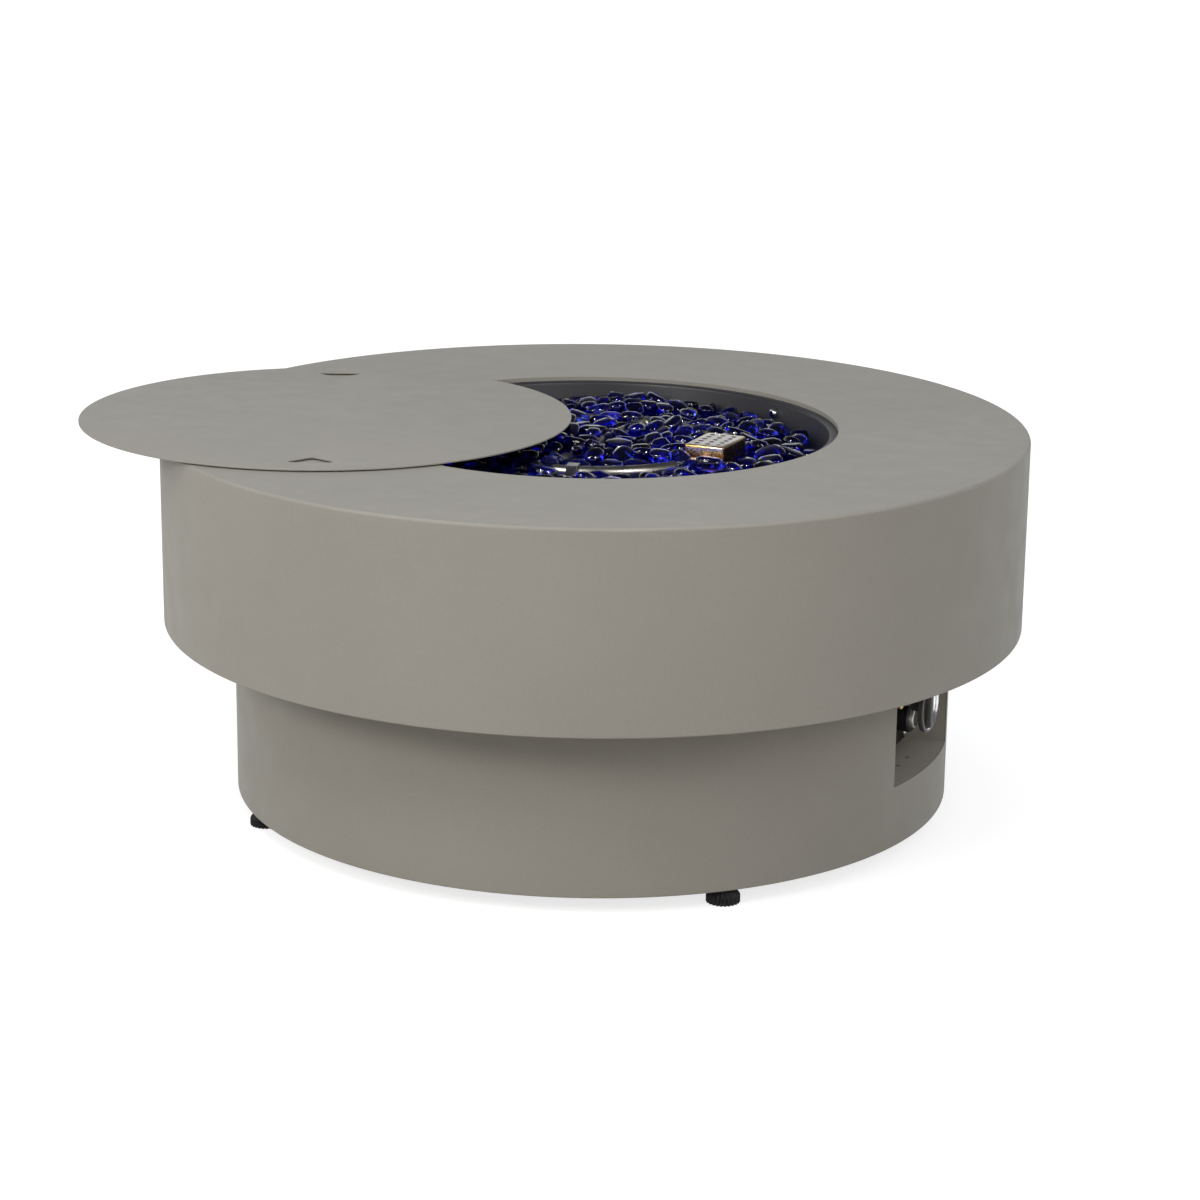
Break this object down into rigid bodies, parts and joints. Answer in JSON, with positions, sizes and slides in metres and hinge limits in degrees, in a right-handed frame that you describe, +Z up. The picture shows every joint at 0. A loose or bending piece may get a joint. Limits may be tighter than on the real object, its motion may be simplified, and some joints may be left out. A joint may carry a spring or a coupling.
{
  "type": "propane fire table",
  "caption": "Round low fire table: sheet-steel drum top on a drum base, gas ring in a bowl of loose glass, control bay, levelling feet and a flat lift-off lid.",
  "frame": {"origin": "on the table's axis at the floor plane under the feet", "axes": "+Z up, +X towards the control bay"},
  "size_m": [1.1489, 1.0668, 0.4775],
  "materials": {
    "taupe_paint": "warm grey powder coat with a fine texture",
    "bowl_enamel": "charcoal heat-proof enamel",
    "black_paint": "black powder coat",
    "zinc_steel": "zinc-plated steel",
    "stainless": "stainless steel with heat tint",
    "chrome": "bright plated metal",
    "brass": "machined brass",
    "copper": "drawn copper",
    "aluminium_tube": "drawn aluminium",
    "black_plastic": "moulded black plastic",
    "ceramic": "glazed white ceramic",
    "rubber": "black rubber",
    "blue_glass": "tumbled cobalt glass"
  },
  "bodies": {
    "table": {"table_top": "taupe_paint", "underside_panel": "taupe_paint", "base_drum": "taupe_paint", "bay_tray": "taupe_paint", "top_posts": "taupe_paint", "fire_bowl": "bowl_enamel", "control_panel": "black_paint", "flange_screws": "zinc_steel", "base_bolts": "zinc_steel", "control_screws": "zinc_steel", "bowl_brackets": "zinc_steel", "bowl_nuts": "zinc_steel", "heat_shield": "zinc_steel", "shield_spacers": "zinc_steel", "nut_plates": "zinc_steel", "probe_bracket": "zinc_steel", "burner_locknut": "zinc_steel", "ring_burner": "stainless", "burner_legs": "stainless", "igniter_hood": "stainless", "electrode_rod": "stainless", "thermocouple": "stainless", "bowl_bolts": "chrome", "gas_valve": "brass", "valve_nut": "brass", "inlet_fitting": "brass", "air_mixer": "brass", "thermocouple_lead": "copper", "gas_tube": "aluminium_tube", "igniter_body": "black_plastic", "igniter_nut": "black_plastic", "electrode_ceramic": "ceramic", "igniter_lead": "rubber", "fire_glass": "blue_glass"},
    "lid": {"lid": "taupe_paint", "lid_bumpers": "rubber"},
    "valve_stem": {"valve_stem": "zinc_steel"},
    "control_knob": {"control_knob": "chrome"},
    "igniter_button": {"igniter_button": "chrome"},
    "foot_1": {"foot_pad_1": "black_plastic", "foot_stud_1": "zinc_steel"},
    "foot_2": {"foot_pad_2": "black_plastic", "foot_stud_2": "zinc_steel"},
    "foot_3": {"foot_pad_3": "black_plastic", "foot_stud_3": "zinc_steel"},
    "foot_4": {"foot_pad_4": "black_plastic", "foot_stud_4": "zinc_steel"}
  },
  "joints": [
    {"name": "lid_slide", "type": "slide", "parent": "table", "child": "lid", "axis": [0.9344, 0.3562, 0], "range_m": [0, 0.3338]},
    {"name": "knob_turn", "type": "hinge", "parent": "table", "child": "valve_stem", "pos_m": [0.44, 0.016, 0.165], "axis": [1, 0, 0], "range_deg": [0, 210]},
    {"name": "knob_push", "type": "slide", "parent": "valve_stem", "child": "control_knob", "axis": [-1, 0, 0], "range_m": [0, 0.004], "stiffness_N_per_m": 1500, "springref_m": -0.003},
    {"name": "igniter_press", "type": "slide", "parent": "table", "child": "igniter_button", "axis": [-1, 0, 0], "range_m": [0, 0.004], "stiffness_N_per_m": 1200, "springref_m": -0.002},
    {"name": "foot_1_level", "type": "slide", "parent": "table", "child": "foot_1", "axis": [0, 0, -1], "range_m": [0, 0.012]},
    {"name": "foot_2_level", "type": "slide", "parent": "table", "child": "foot_2", "axis": [0, 0, -1], "range_m": [0, 0.012]},
    {"name": "foot_3_level", "type": "slide", "parent": "table", "child": "foot_3", "axis": [0, 0, -1], "range_m": [0, 0.012]},
    {"name": "foot_4_level", "type": "slide", "parent": "table", "child": "foot_4", "axis": [0, 0, -1], "range_m": [0, 0.012]}
  ]
}
